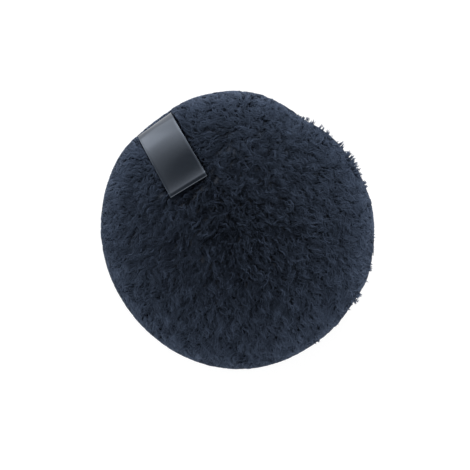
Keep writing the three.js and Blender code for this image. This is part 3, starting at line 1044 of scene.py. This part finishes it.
class PUFF_OT_covers(bpy.types.Operator):
    """Make both plush covers: the filled ground cloth and the pile that stands on it"""

    bl_idname = "puff.covers"
    bl_label = "Plush Covers"

    def execute(self, context):
        settings = context.scene.puff_plush
        ground = ground_finish(settings)
        pile = pile_finish(settings)
        for node, side, count, parts, seed in (
            ("front", 1, settings.front_locks, FRONT_PIECES, FRONT_SEED),
            ("back", -1, settings.back_locks, BACK_PIECES, BACK_SEED),
        ):
            rng = np.random.default_rng(seed)
            cloth = ground_cloth(f"{node}_ground", side)
            inflate(cloth)
            set_mesh_points(cloth.data, under_ribbon(mesh_points(cloth.data), *GROUND_PRESS))
            tree = ground_tree(cloth)
            locks = grow_locks(tree, side, count, settings, rng)
            points, tones, widths, reach = grow_fibres(locks, tree, side, settings, rng)
            points = within_plush(points, side, reach, rng)
            points = on_table(under_ribbon(points, *PILE_PRESS), rng)
            pile_pieces(f"{node}_pile", (points, tones, widths), parts, pile)
            thicken(cloth, GROUND_THICKNESS, -1)
            cloth.data.materials.append(ground)
            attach(cloth, "puff")
            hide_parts(f"{node}_cover")
        return {"FINISHED"}


# The ribbon tab


def bed_line():
    """The line on which the tab lies, from the seam up over the rim to the crown."""
    rim = RIM_RADIUS - TAB_BED
    rise = crown_line(0, rim, SEAM_HEIGHT + SHOULDER, CROWN_HEIGHT - TAB_BED, BED_STEPS)[::-1]
    return np.vstack(((rim, SEAM_HEIGHT + SEAM_GAP), rise))


def bed_point(distance, height):
    """Place in the plane of the tab: so far up the rim and in over the front, and so high above its bed."""
    line = bed_line()
    steps = np.concatenate(((0,), np.cumsum(np.hypot(*np.diff(line, axis=0).T))))
    heading = np.gradient(line, steps, axis=0)
    radius = np.interp(distance, steps, line[:, 0]) + np.interp(distance, steps, heading[:, 1]) * height
    level = np.interp(distance, steps, line[:, 1]) - np.interp(distance, steps, heading[:, 0]) * height
    return radius, level


def satin_floats(finish, place, scale, colour):
    """The satin's long floats: their noise, and the colours that it gives them."""
    stretch = finish.node("Mapping", {"Scale": scale})
    finish.wire(place, stretch.inputs["Vector"])
    noise_level = finish.texture("Noise", stretch.outputs[0], {"Scale": 1, "Detail": 3}).outputs["Fac"]
    return noise_level, finish.ramp(noise_level, ((0.3, colour * 0.65), (0.7, colour * 1.4)))


def satin_finish(settings):
    """Black satin: long floats along the ribbon, a corded selvedge at each edge and a soft gloss."""
    finish = Finish("satin_ribbon")
    finish.set(Roughness=0.16, IOR=1.62, Anisotropic=0.2)
    finish.set(Specular_IOR_Level=1.0, Specular_Tint=(0.76, 0.85, 1.0, 1))
    place = finish.node("UVMap", uv_map=RIBBON_MAP).outputs[0]
    colour = Vector(settings.satin_colour)
    floats, satin = satin_floats(finish, place, (4.5, 0.6, 1), colour)
    from_middle = finish.math("ABSOLUTE", finish.split(place)["X"], 0)
    across = finish.math("DIVIDE", from_middle, RIBBON_WIDTH / 2 / MM)
    edge = finish.ramp(across, ((0.9, grey(0)), (0.915, grey(0.45)), (0.935, grey(0)), (0.96, grey(1))))
    corded = finish.node("Mix", {"B": (*(colour * 2.2), 1)}, data_type="RGBA")
    finish.wire(edge, corded.inputs["Factor"])
    finish.wire(satin, corded.inputs["A"])
    finish.paint(corded.outputs["Result"])
    relief = finish.math("ADD", floats, finish.math("MULTIPLY", edge, 2))
    finish.bump(relief, 0.06, 0.05 * MM)
    tangent = finish.node("Tangent", direction_type="UV_MAP", uv_map=RIBBON_MAP)
    finish.wire(tangent.outputs[0], finish.shader.inputs["Tangent"])
    return finish.material


def fold_ribbon(grid, settings):
    """Folds a square grid into the ribbon's loop on its bed: its points, and places on the flat ribbon."""
    across = RIBBON_WIDTH / 2 * np.sin(math.pi * grid[:, 0])
    fold_radius = (LOOP_GAP + RIBBON_THICKNESS) / 2
    fold = TAB_LENGTH - fold_radius - RIBBON_THICKNESS / 2
    whole = 2 * fold + math.pi * fold_radius
    from_fold = 2 * grid[:, 1]
    run = whole / 2 * (1 + np.sign(from_fold) * np.abs(from_fold) ** 1.5)
    turn = np.clip((run - fold) / fold_radius, 0, math.pi)
    distance = np.where(run < fold, run, np.where(turn < math.pi, fold, whole - run))
    distance = distance + fold_radius * np.sin(turn)
    upper = (1 - np.cos(turn)) / 2
    to_right = across / (RIBBON_WIDTH / 2)
    edge = np.abs(to_right)
    along = distance / TAB_LENGTH

    closed = 1 - LOOP_CLOSING * np.clip(1 - distance / LOOP_CLOSING_REACH, 0, 1)
    height = BED_CLEARANCE + RIBBON_THICKNESS / 2 + fold_radius * (1 - np.cos(turn)) * closed
    height += upper * (settings.selvedge_height * np.clip((edge - SELVEDGE_START) / SELVEDGE_WIDTH, 0, 1))
    past_crease = np.clip((distance - TAB_LENGTH + CREASE_SETBACK - CREASE_WIDTH) / CREASE_WIDTH, 0, 1)
    height += upper * CREASE_STEP * past_crease**2
    height -= settings.arch * edge**2 * (1 - 0.5 * along)
    before_crease = np.minimum(distance, TAB_LENGTH - CREASE_SETBACK)
    curl = np.clip(before_crease / TAB_LENGTH, 0, 1) ** 10
    height += settings.end_lift * curl * (1 + 0.2 * to_right)
    twisted = np.clip((along - TWIST_START) / TWIST_SPAN, 0, 1)
    height += settings.twist * (to_right + TWIST_MIDDLE) * twisted**2 * (3 - 2 * twisted)
    near_seam = np.clip(1 - distance / (DIP_REACH[0] + DIP_REACH[1] * to_right), 0, 1)
    height -= near_seam * (DIP_DEPTH[0] + DIP_DEPTH[1] * to_right)

    chord = across * (1 - 0.03 * edge**2)
    chord += settings.pinch * np.clip(-to_right, 0, 1) * (1 - along)
    square = distance - chord * math.tan(TAB_SKEW) * (1 - along)
    inward = square * math.cos(TAB_SKEW) + chord * math.sin(TAB_SKEW)
    sideways = chord * math.cos(TAB_SKEW) - square * math.sin(TAB_SKEW)
    radius, level = bed_point(inward, height)
    return np.column_stack((sideways, radius, level)), np.column_stack((across, run))


class PUFF_OT_ribbon(bpy.types.Operator):
    """Make the folded satin tab that lies on the front"""

    bl_idname = "puff.ribbon"
    bl_label = "Ribbon Tab"

    def execute(self, context):
        settings = context.scene.puff_ribbon
        shape = bmesh.new()
        shape.loops.layers.uv.new(RIBBON_MAP)
        across, along = RIBBON_STEPS
        bmesh.ops.create_grid(shape, x_segments=across, y_segments=along, size=0.5, calc_uvs=True)
        mesh = mesh_from("ribbon_tab", shape)
        points, flat = fold_ribbon(mesh_points(mesh), settings)
        set_mesh_points(mesh, points)
        corners = np.empty(len(mesh.loops), dtype=np.int32)
        mesh.loops.foreach_get("vertex_index", corners)
        mesh.uv_layers[RIBBON_MAP].data.foreach_set("uv", (flat[corners] / MM).ravel())
        shade_smooth(mesh)
        tab = link("ribbon_tab", mesh)
        thicken(tab, RIBBON_THICKNESS, 0)
        mesh.materials.append(satin_finish(settings))
        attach(tab, "tab")
        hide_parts("label_tab")
        return {"FINISHED"}


# The foam core


def foam_finish(settings):
    """Open-celled foam: pale cell walls round cells painted darker inside, as painted shade in their hollows.
    """
    finish = Finish("open_cell_foam")
    finish.set(Roughness=0.95, Subsurface_Weight=0.1, Subsurface_Scale=1 * MM)
    place = finish.node("TexCoord").outputs["Object"]
    cells = finish.texture("Voronoi", place, {"Scale": 1 / settings.cell_size}, feature="DISTANCE_TO_EDGE")
    colour = Vector(settings.foam_colour)
    # Painted shade: each cell is painted darker towards its middle, where it is deepest
    painted_pore_shade = ((0.02, colour), (0.12, colour * 0.85), (0.4, colour * 0.45))
    finish.paint(finish.ramp(cells.outputs["Distance"], painted_pore_shade))
    depth = finish.math("SUBTRACT", 1, cells.outputs["Distance"])
    finish.bump(depth, 0.8, 0.4 * MM)
    return finish.material


def core_line():
    """Profile of the foam disc from the middle of its front to that of its back, grooved for the seam."""
    low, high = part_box("foam_core")
    sides = []
    for side, flat, top in ((1, 0, high.z), (-1, REST_RADIUS, low.z)):
        face = crown_line(flat, high.x, SEAM_HEIGHT + side * SHOULDER, top, CORE_STEPS)
        groove = SEAM_HEIGHT + side * GROOVE_HEIGHT
        face = np.vstack((face, ((high.x, groove), (GROOVE_RADIUS, groove))))
        sides.append(face)
    return np.vstack((sides[0], sides[1][::-1], ((0, low.z),)))


class PUFF_OT_core(bpy.types.Operator):
    """Make the foam disc that fills the covers"""

    bl_idname = "puff.core"
    bl_label = "Foam Core"

    def execute(self, context):
        mesh = mesh_from("foam_disc", turned(core_line().tolist(), CORE_TURNS))
        shade_smooth(mesh)
        core = link("foam_disc", mesh)
        rounding = core.modifiers.new("cut edges", "BEVEL")
        rounding.width = CORE_EDGE
        rounding.segments = 2
        rounding.limit_method = "ANGLE"
        mesh.materials.append(foam_finish(context.scene.puff_core))
        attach(core, "puff")
        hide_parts("foam_core")
        return {"FINISHED"}


# The threads and the ribbon's sewn ends


def thread_finish(settings):
    """Black spun thread: fine slanting plies with a little fuzz."""
    finish = Finish("sewing_thread")
    finish.set(Roughness=0.7, Sheen_Weight=0.2)
    place = finish.node("TexCoord").outputs["Object"]
    twist = {"Scale": 1200, "Distortion": 1.5}
    plies = finish.texture("Wave", place, twist, wave_type="BANDS", bands_direction="DIAGONAL")
    colour = Vector(settings.thread_colour)
    finish.paint(finish.ramp(plies.outputs["Fac"], ((0.2, colour * 0.6), (0.8, colour * 1.6))))
    finish.bump(plies.outputs["Fac"], 0.6, 0.06 * MM)
    return finish.material


def ribbon_end_finish(settings):
    """The satin of the ribbon's ends inside the seam: long floats along the ribbon."""
    finish = Finish("satin_ends")
    finish.set(Roughness=0.3)
    place = finish.node("TexCoord").outputs["Object"]
    colour = Vector(settings.satin_colour)
    floats, satin = satin_floats(finish, place, (4500, 600, 600), colour)
    finish.paint(satin)
    finish.bump(floats, 0.3, 0.05 * MM)
    return finish.material


def dress(nodes, finish):
    """Gives carried-over nodes a finish."""
    for name in nodes:
        mesh = frame["nodes"][name].data
        mesh.materials.clear()
        mesh.materials.append(finish)


class PUFF_OT_seam(bpy.types.Operator):
    """Finish the threads of the seam and the ribbon's ends that are sewn into it"""

    bl_idname = "puff.seam"
    bl_label = "Seam"

    def execute(self, context):
        thread = thread_finish(context.scene.puff_thread)
        dress(("seam_needle_thread", "seam_bobbin_thread", "closing_thread"), thread)
        dress(("label_tail_front", "label_tail_back"), ribbon_end_finish(context.scene.puff_ribbon))
        return {"FINISHED"}


# The stage


def floor_finish(settings):
    """A pale floor that the camera and clear reflections see as white, with the puff's soft shadow on it."""
    finish = Finish("floor")
    finish.set(Roughness=0.9, Base_Color=(*settings.floor_colour, 1))
    pale = finish.node("BsdfDiffuse", {"Color": (*grey(FLOOR_SHADOWED), 1)})
    glow = finish.node("Emission", {"Strength": FLOOR_GLOW})
    white = finish.node("AddShader")
    finish.wire(pale.outputs[0], white.inputs[0])
    finish.wire(glow.outputs[0], white.inputs[1])
    path = finish.node("LightPath")
    seen = finish.math("MAXIMUM", path.outputs["Is Camera Ray"], path.outputs["Is Glossy Ray"])
    seen = finish.math("MAXIMUM", seen, path.outputs["Is Transmission Ray"])
    choose = finish.node("MixShader")
    finish.wire(seen, choose.inputs[0])
    finish.wire(finish.shader.outputs[0], choose.inputs[1])
    finish.wire(white.outputs[0], choose.inputs[2])
    finish.wire(choose.outputs[0], finish.tree.nodes["Material Output"].inputs["Surface"])
    return finish.material


def light_room(scene):
    """A room that is bright all round and dim straight above, where the camera is."""
    world = bpy.data.worlds.new("studio")
    scene.world = world
    world.use_nodes = True
    tree = world.node_tree
    place = tree.nodes.new("ShaderNodeTexCoord")
    parts = tree.nodes.new("ShaderNodeSeparateXYZ")
    ramp = tree.nodes.new("ShaderNodeValToRGB")
    tree.links.new(place.outputs["Generated"], parts.inputs[0])
    tree.links.new(parts.outputs["Z"], ramp.inputs[0])
    tree.links.new(ramp.outputs[0], tree.nodes["Background"].inputs["Color"])
    set_stops(ramp, [(height, grey(light)) for height, light in ROOM_LIGHT])


def soft_lamp(scene, name, bearing, height, watts, size):
    """A square soft box that looks at the puff, from a bearing in the picture and a height in degrees."""
    lamp = bpy.data.lights.new(name, "AREA")
    lamp.energy = watts
    lamp.size = size
    turn = math.radians(bearing) + math.pi / 2 - TAB_DIRECTION
    rise = math.radians(height)
    away = Vector((math.cos(rise) * math.cos(turn), math.cos(rise) * math.sin(turn), math.sin(rise)))
    box = bpy.data.objects.new(name, lamp)
    box.location = away * LAMP_DISTANCE
    box.rotation_euler = away.to_track_quat("Z", "Y").to_euler()
    scene.collection.objects.link(box)


def aim_camera(scene):
    """A camera straight above that frames the puff as the picture does."""
    camera = bpy.data.cameras.new("camera")
    camera.sensor_width = SENSOR_WIDTH
    per_pixel = 2 * RIM_RADIUS / DIAMETER_PIXELS
    camera.lens = SENSOR_WIDTH * CAMERA_DISTANCE / (per_pixel * PICTURE_PIXELS)
    viewer = bpy.data.objects.new("camera", camera)
    scene.collection.objects.link(viewer)
    up_angle = math.pi / 2 - (TAB_DIRECTION - math.pi / 2)
    up = Vector((math.cos(up_angle), math.sin(up_angle), 0))
    right = Vector((math.sin(up_angle), -math.cos(up_angle), 0))
    shift_right = (PICTURE_PIXELS / 2 - MIDDLE_PIXELS[0]) * per_pixel
    shift_up = (MIDDLE_PIXELS[1] - PICTURE_PIXELS / 2) * per_pixel
    place = right * shift_right + up * shift_up
    place.z = SEAM_HEIGHT + CAMERA_DISTANCE
    axes = Matrix((right, up, Vector((0, 0, 1)))).transposed()
    viewer.matrix_world = Matrix.Translation(place) @ axes.to_4x4()
    scene.camera = viewer


class PUFF_OT_stage(bpy.types.Operator):
    """Make the floor, the light and the camera"""

    bl_idname = "puff.stage"
    bl_label = "Stage"

    def execute(self, context):
        scene = context.scene
        scene.view_settings.view_transform = "Standard"
        shape = bmesh.new()
        bmesh.ops.create_grid(shape, x_segments=1, y_segments=1, size=FLOOR_HALF_WIDTH)
        mesh = mesh_from("floor", shape)
        floor = link("floor", mesh)
        floor.location.z = REST_HEIGHT - FLOOR_GAP
        mesh.materials.append(floor_finish(scene.puff_stage))
        light_room(scene)
        for lamp in SOFT_LAMPS:
            soft_lamp(scene, *lamp)
        aim_camera(scene)
        return {"FINISHED"}


class PUFF_PT_panel(bpy.types.Panel):
    """Lists the operators in the order in which they run"""

    bl_idname = "PUFF_PT_panel"
    bl_label = "Plush Puff"
    bl_space_type = "VIEW_3D"
    bl_region_type = "UI"
    bl_category = "Puff"

    def draw(self, context):
        for operator in OPERATORS:
            self.layout.operator(operator.bl_idname)


OPERATORS = (PUFF_OT_covers, PUFF_OT_core, PUFF_OT_seam, PUFF_OT_ribbon, PUFF_OT_stage)
SETTINGS = {
    "puff_plush": PlushSettings,
    "puff_core": CoreSettings,
    "puff_thread": ThreadSettings,
    "puff_ribbon": RibbonSettings,
    "puff_stage": StageSettings,
}


def register():
    for kind in (*SETTINGS.values(), *OPERATORS, PUFF_PT_panel):
        bpy.utils.register_class(kind)
    for name, kind in SETTINGS.items():
        setattr(bpy.types.Scene, name, PointerProperty(type=kind))


def unregister():
    for name in SETTINGS:
        delattr(bpy.types.Scene, name)
    for kind in (PUFF_PT_panel, *OPERATORS[::-1], *SETTINGS.values()):
        bpy.utils.unregister_class(kind)


def main():
    register()
    bpy.ops.puff.covers()
    bpy.ops.puff.core()
    bpy.ops.puff.seam()
    bpy.ops.puff.ribbon()
    bpy.ops.puff.stage()


if __name__ == "__main__":
    main()
